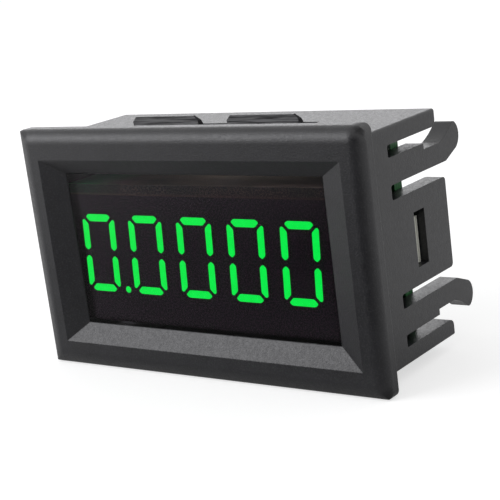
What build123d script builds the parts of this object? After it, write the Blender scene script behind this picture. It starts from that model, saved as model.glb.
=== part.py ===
from build123d import *
import os
from math import radians, tan

# Digital panel meter with a snap-in housing, in millimetres.
# X runs to the right seen from the front, Y runs back into the panel, Z is up.
# The origin is the centre of the panel cut-out on the back face of the bezel.

os.makedirs("parts", exist_ok=True)

# Bezel, which covers the edge of the cut-out
bezel_width = 48.0
bezel_height = 29.0
bezel_thickness = 2.0
bezel_slope_width_x = 2.0
bezel_slope_width_z = 1.6
bezel_slope_depth = 0.6
bezel_edge_radius = 0.7
bezel_corner_radius = 0.8

# Bevelled opening in the bezel
window_width = 36.0
window_height = 18.3
window_drop = 0.1
bevel_width = 42.2
bevel_height = 22.4
bevel_drop = 0.31
bevel_depth = 1.3

# Body behind the bezel
body_width = 44.8
body_height = 25.9
body_depth = 15.6
body_corner_radius = 0.3
side_wall = 2.2
top_wall = 1.5
front_wall_back = 0.2

# Spring arms, cut free from the side walls by slots that are open at the back
slot_start = 5.25
slot_end_radius = 0.25
panel_half_height = 5.15
arm_inner_edge = 6.75
arm_outer_edge = 9.68
slot_outer_edge = 11.02
strip_corner_radius = 0.8
arm_step_start = 12.7
arm_step_height = 0.65

# Hooked ends of the arms, as distances behind the bezel and heights above the middle
arm_overlap = 0.4
arm_flare_start = 16.2
arm_flare_depth = 17.9
arm_flare_height = 9.75
arm_tip_depth = 19.5
arm_tip_height = 10.85
arm_tip_radius = 0.6
arm_reach = 20.68
arm_reach_height = 9.2
arm_heel_depth = 19.85
arm_heel_height = 7.75
arm_shoulder = 17.3

# Latch panels between the arms, with a window each for a tab of the board
panel_reach = 16.7
panel_corner_radius = 0.5
latch_start = 9.2
latch_length = 2.25
latch_height = 6.1
latch_drop = 0.17

# Snap tongues in an opening above and another below
opening_width = 24.0
opening_start = 4.3
opening_end = 8.8
tongue_width = 8.6
tongue_spread = 13.8
tongue_side_chamfer = 0.55
tongue_nose = 5.2
tongue_rise = 1.58
tongue_flat = 0.25
tongue_ramp = 1.3
tongue_sink = 0.45
tongue_depth = 0.65
tongue_root = 0.2

# Filter plate in its pocket behind the bevel
filter_width = 38.2
filter_height = 20.4
filter_thickness = 0.8
filter_clearance = 0.1
filter_corner_radius = 0.4

# Circuit board
board_thickness = 1.6
board_front = 9.65
board_clearance = 0.1
board_tab_reach = 1.4
board_tab_height = 5.2
board_tab_clearance = 0.05
board_corner_radius = 0.6

# Display case, which stands on the board on four feet
display_width = 37.6
display_height = 16.7
display_front = 0.2
display_foot_size = 2.2
display_foot_height = 0.6
display_recess = 0.5
display_edge_chamfer = 0.25

# Digits
digit_count = 5
digit_pitch = 7.15
digit_height = 9.45
digit_width = 5.0
digit_shift = 0.74
display_drop = 0.69
digit_slant = 3.5
segment_width = 0.89
segment_gap = 0.13
segment_corner_chamfer = 0.1
point_diameter = 0.8
point_offset = 3.66

# Pins of the display and their solder
pin_pitch = 2.54
pins_per_row = 7
pin_row_spacing = 12.7
pin_width = 0.5
pin_tail = 1.3
pin_hole_diameter = 0.9
solder_radius = 0.7
solder_height = 0.85
solder_slope = 20
hole_sides = 12

# Chip packages on the back of the board
package_clearance = 0.1
package_chamfer = 0.12
lead_thickness = 0.15
lead_length = 1.0
microcontroller_size = (6.5, 4.4, 1.0)
microcontroller_place = (-9.0, 1.2)
microcontroller_pitch = 0.65
microcontroller_leads_per_side = 10
microcontroller_lead_width = 0.26
converter_size = (4.9, 3.9, 1.4)
converter_place = (0.4, 1.2)
converter_pitch = 1.27
converter_leads_per_side = 4
converter_lead_width = 0.42

regulator_size = (4.5, 2.5, 1.5)
regulator_place = (13.6, 1.8)
regulator_lead_pitch = 1.5
regulator_lead_width = 0.48
regulator_lead_length = 0.9
regulator_lead_thickness = 0.4
regulator_tab_width = 1.7
regulator_tab_length = 0.6

driver_size = (2.9, 1.3, 1.0)
driver_row_height = -3.6
driver_first = -16.6
driver_pitch = 4.4
driver_lead_spacing = 1.9
driver_lead_width = 0.4
driver_lead_length = 0.5

# Small two-ended parts
chip_length = 1.6
chip_width = 0.8
chip_end = 0.3
resistor_height = 0.45
resistor_row_count = 8
resistor_row_pitch = 3.0
resistor_row_height = 8.3
resistor_column_count = 3
resistor_column_place = (-15.5, 3.4)
resistor_column_pitch = 1.5
capacitor_height = 0.8
capacitor_row_height = -5.5

# Smoothing capacitor
can_diameter = 4.0
can_height = 5.0
can_neck_start = 0.9
can_neck_depth = 0.2
can_edge_chamfer = 0.25
can_base_size = 4.3
can_base_height = 0.7
can_base_chamfer = 0.9
can_place = (7.0, 1.3)

# Protection diode
diode_size = (4.3, 2.6, 2.1)
diode_place = (14.4, -3.4)
diode_lead_width = 1.4
diode_lead_length = 0.5

# Supply connector
connector_pins_count = 3
connector_pitch = 2.0
connector_side = 1.95
connector_wall = 0.7
connector_height = 4.5
connector_depth = 6.0
connector_floor = 1.6
connector_notch = 1.6
connector_place = (-13.2, -8.2)
connector_pin_reach = 5.0
connector_solder_height = 0.4

# Sizes that follow from the ones above
inner_width = body_width - 2 * side_wall
inner_height = body_height - 2 * top_wall
board_back = board_front + board_thickness
board_width = inner_width - 2 * board_clearance
board_height = inner_height - 2 * board_clearance
display_back = board_front - display_foot_height
filter_front = bevel_depth - bezel_thickness
digit_lean = tan(radians(digit_slant))


def at_depth(depth):
    """Plane parallel to the bezel, looking forward, at a distance behind the bezel's back."""
    return Plane.XZ.offset(-depth)


def across(x):
    """Plane parallel to the side walls, with Y to its right and Z up."""
    return Plane.YZ.offset(x)


def leaning(points):
    """Points of a digit, pushed sideways so that the digit leans to the right."""
    return [(x + z * digit_lean, z) for x, z in points]


def mirrored(points, flip_x, flip_z):
    """The same outline on the other side of the digit."""
    return [(x * flip_x, z * flip_z) for x, z in points]


def digit_places():
    """Centres of the digits on the display's face."""
    first = -digit_shift - digit_pitch * (digit_count - 1) / 2
    return [(first + digit_pitch * index, -display_drop) for index in range(digit_count)]


# Outlines of the three kinds of segment, for a digit that stands upright at the origin
half_width = digit_width / 2
half_height = digit_height / 2
segment_slope = segment_width * 0.55
bar_outline = [
    (-half_width + segment_width + segment_gap, half_height),
    (half_width - segment_width - segment_gap, half_height),
    (half_width - segment_slope - segment_gap, half_height - segment_slope / 1.5),
    (half_width - segment_width - 2 * segment_gap, half_height - segment_width),
    (-half_width + segment_width + 2 * segment_gap, half_height - segment_width),
    (-half_width + segment_slope + segment_gap, half_height - segment_slope / 1.5),
]
side_outline = [
    (-half_width, half_height - segment_width + segment_gap),
    (-half_width + segment_slope / 1.6, half_height - segment_slope - segment_gap),
    (-half_width + segment_width, half_height - segment_width - 2.4 * segment_gap),
    (-half_width + segment_width, segment_width / 2 + 1.5 * segment_gap),
    (-half_width + segment_width / 2, 2.3 * segment_gap),
    (-half_width, segment_width / 2 + 1.8 * segment_gap),
]
middle_outline = [
    (-half_width + segment_slope + segment_gap, 0),
    (-half_width + segment_width + segment_gap, segment_width / 2),
    (half_width - segment_width - segment_gap, segment_width / 2),
    (half_width - segment_slope - segment_gap, 0),
    (half_width - segment_width - segment_gap, -segment_width / 2),
    (-half_width + segment_width + segment_gap, -segment_width / 2),
]
zero_outlines = [mirrored(bar_outline, 1, flip_z) for flip_z in (1, -1)]
zero_outlines += [mirrored(side_outline, flip_x, flip_z) for flip_x in (1, -1) for flip_z in (1, -1)]
point_place = leaning([(point_offset, -half_height + point_diameter / 2)])[0]


def segment_face(outline):
    """One segment with blunted corners, leaning like the digit that it belongs to."""
    with BuildSketch() as segment:
        with BuildLine():
            Polyline(*leaning(outline), close=True)
        make_face()
        chamfer(segment.vertices(), segment_corner_chamfer)
    return segment.sketch


zero_segments = [segment_face(outline) for outline in zero_outlines]
middle_segment = segment_face(middle_outline)


def bezel_section(half_size, slope_width):
    """Section through the bezel, with its width to the right and its front downwards."""
    with BuildSketch() as section:
        with BuildLine():
            slope_start = (half_size - slope_width, -bezel_thickness)
            slope_end = (half_size, bezel_slope_depth - bezel_thickness)
            Polyline(slope_end, (half_size, 0), (0, 0), (0, -bezel_thickness), slope_start)
            TangentArc(slope_start, slope_end, tangent=(1, 0))
        make_face()
        fillet(section.vertices().group_by(Axis.X)[-1].sort_by(Axis.Y)[0], bezel_edge_radius)
        mirror(about=Plane.YZ)
    return section.sketch


level_section = bezel_section(bezel_width / 2, bezel_slope_width_x)
upright_section = bezel_section(bezel_height / 2, bezel_slope_width_z)
upright_plane = Plane(origin=(0, 0, 0), x_dir=(0, 0, 1), z_dir=(-1, 0, 0))

# Housing: bezel, body, spring arms, latch panels and snap tongues in one moulding
with BuildPart() as housing:
    with BuildSketch(at_depth(0)):
        RectangleRounded(bezel_width, bezel_height, bezel_corner_radius)
    extrude(amount=bezel_thickness)
    with BuildSketch(Plane.XY):
        add(level_section)
    extrude(amount=bezel_height, both=True, mode=Mode.INTERSECT)
    with BuildSketch(upright_plane):
        add(upright_section)
    extrude(amount=bezel_width, both=True, mode=Mode.INTERSECT)
    with BuildSketch(at_depth(0)):
        RectangleRounded(body_width, body_height, body_corner_radius)
    extrude(amount=-body_depth)

    # Inside of the body, open at the back, and the pocket of the filter plate
    with BuildSketch(at_depth(front_wall_back)):
        Rectangle(inner_width, inner_height)
    extrude(amount=front_wall_back - body_depth, mode=Mode.SUBTRACT)
    with BuildSketch(at_depth(filter_front)):
        with Locations((0, -window_drop)):
            Rectangle(filter_width + 2 * filter_clearance, filter_height + 2 * filter_clearance)
    extrude(amount=filter_front - front_wall_back, mode=Mode.SUBTRACT)

    # Bevel from the front face down to the window
    with BuildSketch(at_depth(-bezel_thickness)):
        with Locations((0, -bevel_drop)):
            Rectangle(bevel_width, bevel_height)
    with BuildSketch(at_depth(filter_front)):
        with Locations((0, -window_drop)):
            Rectangle(window_width, window_height)
    loft(mode=Mode.SUBTRACT)

    # Slots through both side walls, and the step in each arm
    slot_length = body_depth - slot_start
    with BuildSketch(Plane.YZ) as slots:
        for side in (1, -1):
            for low, high in ((panel_half_height, arm_inner_edge), (arm_outer_edge, slot_outer_edge)):
                with Locations((slot_start + slot_length, side * (low + high) / 2)):
                    Rectangle(2 * slot_length, high - low)
        fillet(slots.vertices().group_by(Axis.X)[0], slot_end_radius)
        for side in (1, -1):
            with Locations((arm_step_start + slot_length, side * (arm_outer_edge - arm_step_height / 2))):
                Rectangle(2 * slot_length, arm_step_height)
    extrude(amount=body_width, both=True, mode=Mode.SUBTRACT)

    # Rounded corners of the strips outside the slots, and the hooked ends of the arms and the ends of the
    # latch panels, which stand out behind the body
    for wall_inside in (inner_width / 2, -body_width / 2):
        with BuildSketch(across(wall_inside)):
            with Locations((body_depth, slot_outer_edge)):
                Rectangle(2 * strip_corner_radius, 2 * strip_corner_radius)
            with Locations((body_depth - strip_corner_radius, slot_outer_edge + strip_corner_radius)):
                Circle(strip_corner_radius, mode=Mode.SUBTRACT)
            mirror(about=Plane.XZ)
        extrude(amount=side_wall, mode=Mode.SUBTRACT)
        with BuildSketch(across(wall_inside)) as arm_ends:
            with BuildLine():
                arm_neck = arm_outer_edge - arm_step_height
                tip = (arm_tip_depth, arm_tip_height)
                heel = (arm_heel_depth, arm_heel_height)
                Polyline(
                    (arm_flare_start, arm_neck),
                    (body_depth - arm_overlap, arm_neck),
                    (body_depth - arm_overlap, arm_inner_edge),
                    (arm_shoulder, arm_inner_edge),
                    heel,
                )
                ThreePointArc(heel, (arm_reach, arm_reach_height), tip)
                ThreePointArc(tip, (arm_flare_depth, arm_flare_height), (arm_flare_start, arm_neck))
            make_face()
            fillet(arm_ends.vertices().sort_by(Axis.Y)[-1], arm_tip_radius)
            mirror(about=Plane.XZ)
        extrude(amount=side_wall)
        with BuildSketch(across(wall_inside)) as panel_ends:
            with Locations((panel_reach / 2, 0)):
                Rectangle(panel_reach, 2 * panel_half_height)
            fillet(panel_ends.vertices().group_by(Axis.X)[-1], panel_corner_radius)
            with Locations((body_depth / 4, 0)):
                Rectangle(body_depth / 2, 2 * panel_half_height + 1, mode=Mode.SUBTRACT)
        extrude(amount=side_wall)

    # Windows that take the tabs of the board
    with BuildSketch(Plane.YZ):
        with Locations((latch_start + latch_length / 2, -latch_drop)):
            Rectangle(latch_length, latch_height)
    extrude(amount=body_width, both=True, mode=Mode.SUBTRACT)

    # Openings above and below, each with two tongues that end in a raised nose towards the bezel
    with BuildSketch(Plane.XY):
        with Locations((0, (opening_start + opening_end) / 2)):
            Rectangle(opening_width, opening_end - opening_start)
    extrude(amount=body_height, both=True, mode=Mode.SUBTRACT)
    top_of_body = body_height / 2
    tongue_base_width = tongue_width + 2 * tongue_side_chamfer
    for side in (1, -1):
        with BuildSketch(across(side * tongue_spread / 2 - tongue_base_width / 2)):
            with BuildLine():
                Polyline(
                    (tongue_nose, top_of_body + tongue_rise),
                    (tongue_nose + tongue_flat, top_of_body + tongue_rise),
                    (tongue_nose + tongue_flat + tongue_ramp, top_of_body - tongue_sink),
                    (opening_end + tongue_root, top_of_body - tongue_sink),
                    (opening_end + tongue_root, top_of_body - top_wall),
                    (opening_end, top_of_body - top_wall),
                    (tongue_nose, top_of_body - tongue_depth),
                    close=True,
                )
            make_face()
            mirror(about=Plane.XZ)
        extrude(amount=tongue_base_width)
    with BuildSketch(at_depth(tongue_nose)):
        with GridLocations(tongue_spread, 2 * (top_of_body + tongue_rise), 2, 2):
            with GridLocations(tongue_base_width, 0, 2, 1):
                RegularPolygon(tongue_side_chamfer, 4)
    extrude(amount=tongue_nose - opening_end, mode=Mode.SUBTRACT)
housing.part.label = "housing"
export_step(housing.part, "parts/housing.step")

# Filter plate, dropped into its pocket from behind
with BuildPart() as filter_window:
    with BuildSketch(at_depth(filter_front)):
        with Locations((0, -window_drop)):
            RectangleRounded(filter_width, filter_height, filter_corner_radius)
    extrude(amount=-filter_thickness)
filter_window.part.label = "filter_window"
export_step(filter_window.part, "parts/filter_window.step")

# Faces of the segments that are lit, and of those that are off
with BuildSketch() as lit_faces:
    with Locations(*digit_places()):
        for segment in zero_segments:
            add(segment)
    with Locations(digit_places()[0]):
        with Locations(point_place):
            Circle(point_diameter / 2)
with BuildSketch() as unlit_faces:
    with Locations(*digit_places()):
        add(middle_segment)
    for place in digit_places()[1:]:
        with Locations((place[0] + point_place[0], place[1] + point_place[1])):
            Circle(point_diameter / 2)

with BuildPart() as lit_segments:
    with BuildSketch(at_depth(display_front)):
        add(lit_faces.sketch)
    extrude(amount=-display_recess)
lit_segments.part.label = "lit_segments"
export_step(lit_segments.part, "parts/lit_segments.step")

with BuildPart() as unlit_segments:
    with BuildSketch(at_depth(display_front)):
        add(unlit_faces.sketch)
    extrude(amount=-display_recess)
unlit_segments.part.label = "unlit_segments"
export_step(unlit_segments.part, "parts/unlit_segments.step")

# Display case, with a shallow well for every segment
with BuildPart() as display_case:
    with BuildSketch(at_depth(display_front)):
        with Locations((0, -display_drop)):
            Rectangle(display_width, display_height)
    extrude(amount=display_front - display_back)
    chamfer(display_case.faces().sort_by(Axis.Y)[-1].edges(), display_edge_chamfer)
    foot_spread_x = display_width - display_foot_size - 2 * display_edge_chamfer
    foot_spread_z = display_height - display_foot_size - 2 * display_edge_chamfer
    with BuildSketch(at_depth(display_back)):
        with Locations((0, -display_drop)):
            with GridLocations(foot_spread_x, foot_spread_z, 2, 2):
                Rectangle(display_foot_size, display_foot_size)
    extrude(amount=-display_foot_height)
    with BuildSketch(at_depth(display_front)):
        add(lit_faces.sketch)
        add(unlit_faces.sketch)
    extrude(amount=-display_recess, mode=Mode.SUBTRACT)
display_case.part.label = "display_case"
export_step(display_case.part, "parts/display_case.step")

# Circuit board, with a tab at each side that sits in the window of a latch panel
tab_centre = -latch_drop - latch_height / 2 + board_tab_clearance + board_tab_height / 2
connector_x, connector_z = connector_place
with BuildPart() as circuit_board:
    with BuildSketch(at_depth(board_front)):
        RectangleRounded(board_width, board_height, board_corner_radius)
        with Locations((0, tab_centre)):
            Rectangle(board_width + 2 * board_tab_reach, board_tab_height)
        with Locations((0, -display_drop)):
            with GridLocations(pin_pitch, pin_row_spacing, pins_per_row, 2):
                RegularPolygon(pin_hole_diameter / 2, hole_sides, mode=Mode.SUBTRACT)
        with Locations(connector_place):
            with GridLocations(connector_pitch, 0, connector_pins_count, 1):
                RegularPolygon(pin_hole_diameter / 2, hole_sides, mode=Mode.SUBTRACT)
    extrude(amount=-board_thickness)
circuit_board.part.label = "circuit_board"
export_step(circuit_board.part, "parts/circuit_board.step")

# Pins of the display, from its back through the board
with BuildPart() as display_pins:
    with BuildSketch(at_depth(display_back)):
        with Locations((0, -display_drop)):
            with GridLocations(pin_pitch, pin_row_spacing, pins_per_row, 2):
                Rectangle(pin_width, pin_width)
    extrude(amount=display_back - board_back - pin_tail)
display_pins.part.label = "display_pins"
export_step(display_pins.part, "parts/display_pins.step")


def solder_cones(places, depth, height):
    """Cones of solder round square pins; a negative height points them forward."""
    with BuildPart() as cones:
        with BuildSketch(at_depth(depth)):
            with Locations(*places):
                RegularPolygon(solder_radius, hole_sides)
        extrude(amount=-height, taper=solder_slope)
        with BuildSketch(at_depth(depth)):
            with Locations(*places):
                Rectangle(pin_width, pin_width)
        extrude(amount=-height, mode=Mode.SUBTRACT)
    return cones


display_pin_places = [
    (pin_pitch * (index - (pins_per_row - 1) / 2), row * pin_row_spacing / 2 - display_drop)
    for index in range(pins_per_row)
    for row in (1, -1)
]
display_solder = solder_cones(display_pin_places, board_back, solder_height)
display_solder.part.label = "display_solder"
export_step(display_solder.part, "parts/display_solder.step")


def chip_body(size, places):
    """Moulded packages that stand just clear of the back of the board."""
    width, height, thickness = size
    with BuildPart() as body:
        with BuildSketch(at_depth(board_back + package_clearance)):
            with Locations(*places):
                Rectangle(width, height)
        extrude(amount=-thickness)
        chamfer(body.faces().group_by(Axis.Y)[-1].edges(), package_chamfer)
    return body


def lead_plane(x, z, outward):
    """Plane through the middle of a lead, with Y to its right and the way out of the package up."""
    return Plane(origin=(x, board_back, z), x_dir=(0, 1, 0), z_dir=Vector(0, 1, 0).cross(outward))


def bent_leads(planes, start, body_thickness, lead_length, lead_width):
    """Leads that leave a package at half its height and bend down to a foot half as long as they are."""
    exit_height = package_clearance + body_thickness / 2
    end = start + lead_length
    knee = start + lead_length / 2
    with BuildPart() as leads:
        with BuildSketch(*planes):
            with BuildLine():
                Polyline(
                    (0, end),
                    (0, knee - lead_thickness),
                    (exit_height - lead_thickness, start + lead_thickness),
                    (exit_height - lead_thickness, start),
                    (exit_height, start),
                    (exit_height, start + 2 * lead_thickness),
                    (lead_thickness, knee),
                    (lead_thickness, end),
                    close=True,
                )
            make_face()
        extrude(amount=lead_width / 2, both=True)
    return leads


def row_of(count, pitch, centre):
    """Places along a row with equal pitch about its centre."""
    return [centre + pitch * (index - (count - 1) / 2) for index in range(count)]


upward = Vector(0, 0, 1)
downward = Vector(0, 0, -1)

# Microcontroller with leads along both long sides
microcontroller_body = chip_body(microcontroller_size, [microcontroller_place])
microcontroller_body.part.label = "microcontroller_body"
export_step(microcontroller_body.part, "parts/microcontroller_body.step")
microcontroller_planes = [
    lead_plane(x, microcontroller_place[1], outward)
    for x in row_of(microcontroller_leads_per_side, microcontroller_pitch, microcontroller_place[0])
    for outward in (upward, downward)
]
microcontroller_leads = bent_leads(
    microcontroller_planes,
    microcontroller_size[1] / 2,
    microcontroller_size[2],
    lead_length,
    microcontroller_lead_width,
)
microcontroller_leads.part.label = "microcontroller_leads"
export_step(microcontroller_leads.part, "parts/microcontroller_leads.step")

# Converter chip beside it
converter_body = chip_body(converter_size, [converter_place])
converter_body.part.label = "converter_body"
export_step(converter_body.part, "parts/converter_body.step")
converter_planes = [
    lead_plane(x, converter_place[1], outward)
    for x in row_of(converter_leads_per_side, converter_pitch, converter_place[0])
    for outward in (upward, downward)
]
converter_leads = bent_leads(
    converter_planes,
    converter_size[1] / 2,
    converter_size[2],
    lead_length,
    converter_lead_width,
)
converter_leads.part.label = "converter_leads"
export_step(converter_leads.part, "parts/converter_leads.step")

# Voltage regulator: three flat leads on one side and its cooling tab on the other
regulator_body = chip_body(regulator_size, [regulator_place])
regulator_body.part.label = "regulator_body"
export_step(regulator_body.part, "parts/regulator_body.step")
regulator_x, regulator_z = regulator_place
regulator_edge = regulator_size[1] / 2
with BuildPart() as regulator_leads:
    with BuildSketch(at_depth(board_back)):
        with Locations((regulator_x, regulator_z - regulator_edge - regulator_lead_length / 2)):
            with GridLocations(regulator_lead_pitch, 0, 3, 1):
                Rectangle(regulator_lead_width, regulator_lead_length)
        with Locations((regulator_x, regulator_z + regulator_edge + regulator_tab_length / 2)):
            Rectangle(regulator_tab_width, regulator_tab_length)
    extrude(amount=-regulator_lead_thickness)
regulator_leads.part.label = "regulator_leads"
export_step(regulator_leads.part, "parts/regulator_leads.step")

# One small transistor for each digit
driver_places = [(driver_first + driver_pitch * index, driver_row_height) for index in range(digit_count)]
driver_bodies = chip_body(driver_size, driver_places)
driver_bodies.part.label = "driver_bodies"
export_step(driver_bodies.part, "parts/driver_bodies.step")
driver_planes = [lead_plane(x, z, upward) for x, z in driver_places]
driver_planes += [
    lead_plane(x + offset, z, downward)
    for x, z in driver_places
    for offset in (-driver_lead_spacing / 2, driver_lead_spacing / 2)
]
driver_leads = bent_leads(
    driver_planes,
    driver_size[1] / 2,
    driver_size[2],
    driver_lead_length,
    driver_lead_width,
)
driver_leads.part.label = "driver_leads"
export_step(driver_leads.part, "parts/driver_leads.step")


def chip_blocks(lying_places, standing_places, height):
    """Ceramic blocks of the small two-ended parts, without their ends."""
    block = chip_length - 2 * chip_end
    with BuildPart() as blocks:
        with BuildSketch(at_depth(board_back)):
            with Locations(*lying_places):
                Rectangle(block, chip_width)
            with Locations(*standing_places):
                Rectangle(chip_width, block)
        extrude(amount=-height)
    return blocks


def chip_ends(lying_places, standing_places, height):
    """Soldered metal ends of the small two-ended parts."""
    spread = chip_length - chip_end
    with BuildPart() as ends:
        with BuildSketch(at_depth(board_back)):
            with Locations(*lying_places):
                with GridLocations(spread, 0, 2, 1):
                    Rectangle(chip_end, chip_width)
            with Locations(*standing_places):
                with GridLocations(0, spread, 1, 2):
                    Rectangle(chip_width, chip_end)
        extrude(amount=-height)
    return ends


# Resistors: one for each segment line in a row, and a column beside the microcontroller
resistors_standing = [(x, resistor_row_height) for x in row_of(resistor_row_count, resistor_row_pitch, 0)]
resistors_lying = [
    (resistor_column_place[0], resistor_column_place[1] - resistor_column_pitch * index)
    for index in range(resistor_column_count)
]
resistor_chips = chip_blocks(resistors_lying, resistors_standing, resistor_height)
resistor_chips.part.label = "resistor_chips"
export_step(resistor_chips.part, "parts/resistor_chips.step")
resistor_ends = chip_ends(resistors_lying, resistors_standing, resistor_height)
resistor_ends.part.label = "resistor_ends"
export_step(resistor_ends.part, "parts/resistor_ends.step")

# Ceramic capacitors beside the chips that they serve
capacitors_lying = [
    (converter_place[0] + converter_size[0] / 2, capacitor_row_height),
    (converter_place[0] - converter_size[0] / 2, capacitor_row_height),
    (can_place[0], can_place[1] - can_base_size / 2 - 2 * chip_width),
    (resistor_column_place[0], resistor_column_place[1] - resistor_column_pitch * resistor_column_count),
]
capacitors_standing = [(regulator_x + regulator_size[0] / 2 + 2 * chip_width, regulator_z)]
capacitor_chips = chip_blocks(capacitors_lying, capacitors_standing, capacitor_height)
capacitor_chips.part.label = "capacitor_chips"
export_step(capacitor_chips.part, "parts/capacitor_chips.step")
capacitor_ends = chip_ends(capacitors_lying, capacitors_standing, capacitor_height)
capacitor_ends.part.label = "capacitor_ends"
export_step(capacitor_ends.part, "parts/capacitor_ends.step")

# Smoothing capacitor: a can with a crimped neck on a square base
can_back = board_back + can_base_height
with BuildPart() as smoothing_capacitor_base:
    with BuildSketch(at_depth(board_back)) as base_outline:
        with Locations(can_place):
            Rectangle(can_base_size, can_base_size)
        chamfer(base_outline.vertices().group_by(Axis.X)[-1], can_base_chamfer)
    extrude(amount=-can_base_height)
smoothing_capacitor_base.part.label = "smoothing_capacitor_base"
export_step(smoothing_capacitor_base.part, "parts/smoothing_capacitor_base.step")

with BuildPart() as smoothing_capacitor_can:
    with BuildSketch(Plane.XY.offset(can_place[1])) as can_profile:
        with BuildLine():
            can_edge = can_place[0] + can_diameter / 2
            neck_middle = can_back + can_neck_start
            Polyline(
                (can_place[0], can_back),
                (can_edge, can_back),
                (can_edge, neck_middle - can_neck_depth),
                (can_edge - can_neck_depth, neck_middle),
                (can_edge, neck_middle + can_neck_depth),
                (can_edge, can_back + can_height),
                (can_place[0], can_back + can_height),
                close=True,
            )
        make_face()
        chamfer(can_profile.vertices().group_by(Axis.Y)[-1].sort_by(Axis.X)[-1], can_edge_chamfer)
    revolve(axis=Axis((can_place[0], 0, can_place[1]), (0, 1, 0)))
smoothing_capacitor_can.part.label = "smoothing_capacitor_can"
export_step(smoothing_capacitor_can.part, "parts/smoothing_capacitor_can.step")

# Protection diode with a wide lead at each end
protection_diode_body = chip_body(diode_size, [diode_place])
protection_diode_body.part.label = "protection_diode_body"
export_step(protection_diode_body.part, "parts/protection_diode_body.step")
diode_planes = [lead_plane(*diode_place, Vector(side, 0, 0)) for side in (1, -1)]
protection_diode_leads = bent_leads(
    diode_planes,
    diode_size[0] / 2,
    diode_size[2],
    diode_lead_length,
    diode_lead_width,
)
protection_diode_leads.part.label = "protection_diode_leads"
export_step(protection_diode_leads.part, "parts/protection_diode_leads.step")

# Supply connector: an open shroud with a notch on one side, and its pins through the board
connector_width = connector_pitch * (connector_pins_count - 1) + 2 * connector_side
with BuildPart() as connector_shroud:
    with BuildSketch(at_depth(board_back)):
        with Locations(connector_place):
            Rectangle(connector_width, connector_height)
    extrude(amount=-connector_depth)
    with BuildSketch(at_depth(board_back + connector_floor)):
        with Locations(connector_place):
            Rectangle(connector_width - 2 * connector_wall, connector_height - 2 * connector_wall)
        with Locations((connector_x, connector_z + connector_height / 2)):
            Rectangle(connector_notch, 3 * connector_wall)
    extrude(amount=-connector_depth, mode=Mode.SUBTRACT)
    with BuildSketch(at_depth(board_back)):
        with Locations(connector_place):
            with GridLocations(connector_pitch, 0, connector_pins_count, 1):
                Rectangle(pin_width, pin_width)
    extrude(amount=-connector_floor, mode=Mode.SUBTRACT)
connector_shroud.part.label = "connector_shroud"
export_step(connector_shroud.part, "parts/connector_shroud.step")

with BuildPart() as connector_pins:
    with BuildSketch(at_depth(board_front - connector_solder_height)):
        with Locations(connector_place):
            with GridLocations(connector_pitch, 0, connector_pins_count, 1):
                Rectangle(pin_width, pin_width)
    extrude(amount=-(connector_solder_height + board_thickness + connector_pin_reach))
connector_pins.part.label = "connector_pins"
export_step(connector_pins.part, "parts/connector_pins.step")

connector_pin_row = row_of(connector_pins_count, connector_pitch, connector_x)
connector_pin_places = [(x, connector_z) for x in connector_pin_row]
connector_solder = solder_cones(connector_pin_places, board_front, -connector_solder_height)
connector_solder.part.label = "connector_solder"
export_step(connector_solder.part, "parts/connector_solder.step")
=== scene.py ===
import math

import bmesh
import bpy
from mathutils import Matrix, Vector


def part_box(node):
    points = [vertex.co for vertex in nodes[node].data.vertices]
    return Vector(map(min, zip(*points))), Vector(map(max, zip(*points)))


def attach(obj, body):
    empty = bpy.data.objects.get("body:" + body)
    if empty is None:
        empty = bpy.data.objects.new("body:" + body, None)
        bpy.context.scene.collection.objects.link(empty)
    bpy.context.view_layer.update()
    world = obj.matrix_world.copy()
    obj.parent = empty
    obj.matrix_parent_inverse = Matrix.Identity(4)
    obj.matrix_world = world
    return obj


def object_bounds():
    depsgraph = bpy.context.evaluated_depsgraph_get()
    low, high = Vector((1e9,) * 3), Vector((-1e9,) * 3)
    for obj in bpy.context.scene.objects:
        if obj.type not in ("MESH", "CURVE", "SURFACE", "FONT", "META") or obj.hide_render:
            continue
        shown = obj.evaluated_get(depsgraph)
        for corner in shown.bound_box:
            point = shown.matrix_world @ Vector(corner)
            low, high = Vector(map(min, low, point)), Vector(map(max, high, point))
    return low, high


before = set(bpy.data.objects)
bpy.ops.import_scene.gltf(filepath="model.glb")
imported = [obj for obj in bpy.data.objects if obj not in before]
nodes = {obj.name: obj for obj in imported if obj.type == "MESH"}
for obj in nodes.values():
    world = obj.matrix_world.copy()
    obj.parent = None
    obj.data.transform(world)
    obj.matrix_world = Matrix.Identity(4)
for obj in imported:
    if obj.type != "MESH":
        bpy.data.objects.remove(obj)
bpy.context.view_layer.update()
MM = 0.001


# Housing: one injection moulding in black ABS with bezel, body, spring arms and snap tongues.
# The tool was finely spark-eroded, so the plastic is semi-gloss with a grain finer than 0.2 mm,
# and every edge of the mould shows as a thin rounded line, painted a little paler: partly wear from
# handling, partly a painted highlight.
def new_material(name):
    """A node material, its tree and its Principled shader."""
    material = bpy.data.materials.new(name)
    material.use_nodes = True
    tree = material.node_tree
    return material, tree, tree.nodes["Principled BSDF"]


def object_coordinates(tree):
    """Object coordinates, which are metres in the part's own frame."""
    return tree.nodes.new("ShaderNodeTexCoord").outputs["Object"]


def feed(tree, target, value):
    """Give an input another node's output, or a plain value."""
    if isinstance(value, bpy.types.NodeSocket):
        tree.links.new(value, target)
    else:
        target.default_value = value


def noise(tree, coordinates, grain, detail=3.0, roughness=0.55):
    """Noise whose patches are about one grain across, in metres."""
    node = tree.nodes.new("ShaderNodeTexNoise")
    node.inputs["Scale"].default_value = 1 / grain
    node.inputs["Detail"].default_value = detail
    node.inputs["Roughness"].default_value = roughness
    tree.links.new(coordinates, node.inputs["Vector"])
    return node.outputs["Fac"]


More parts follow.
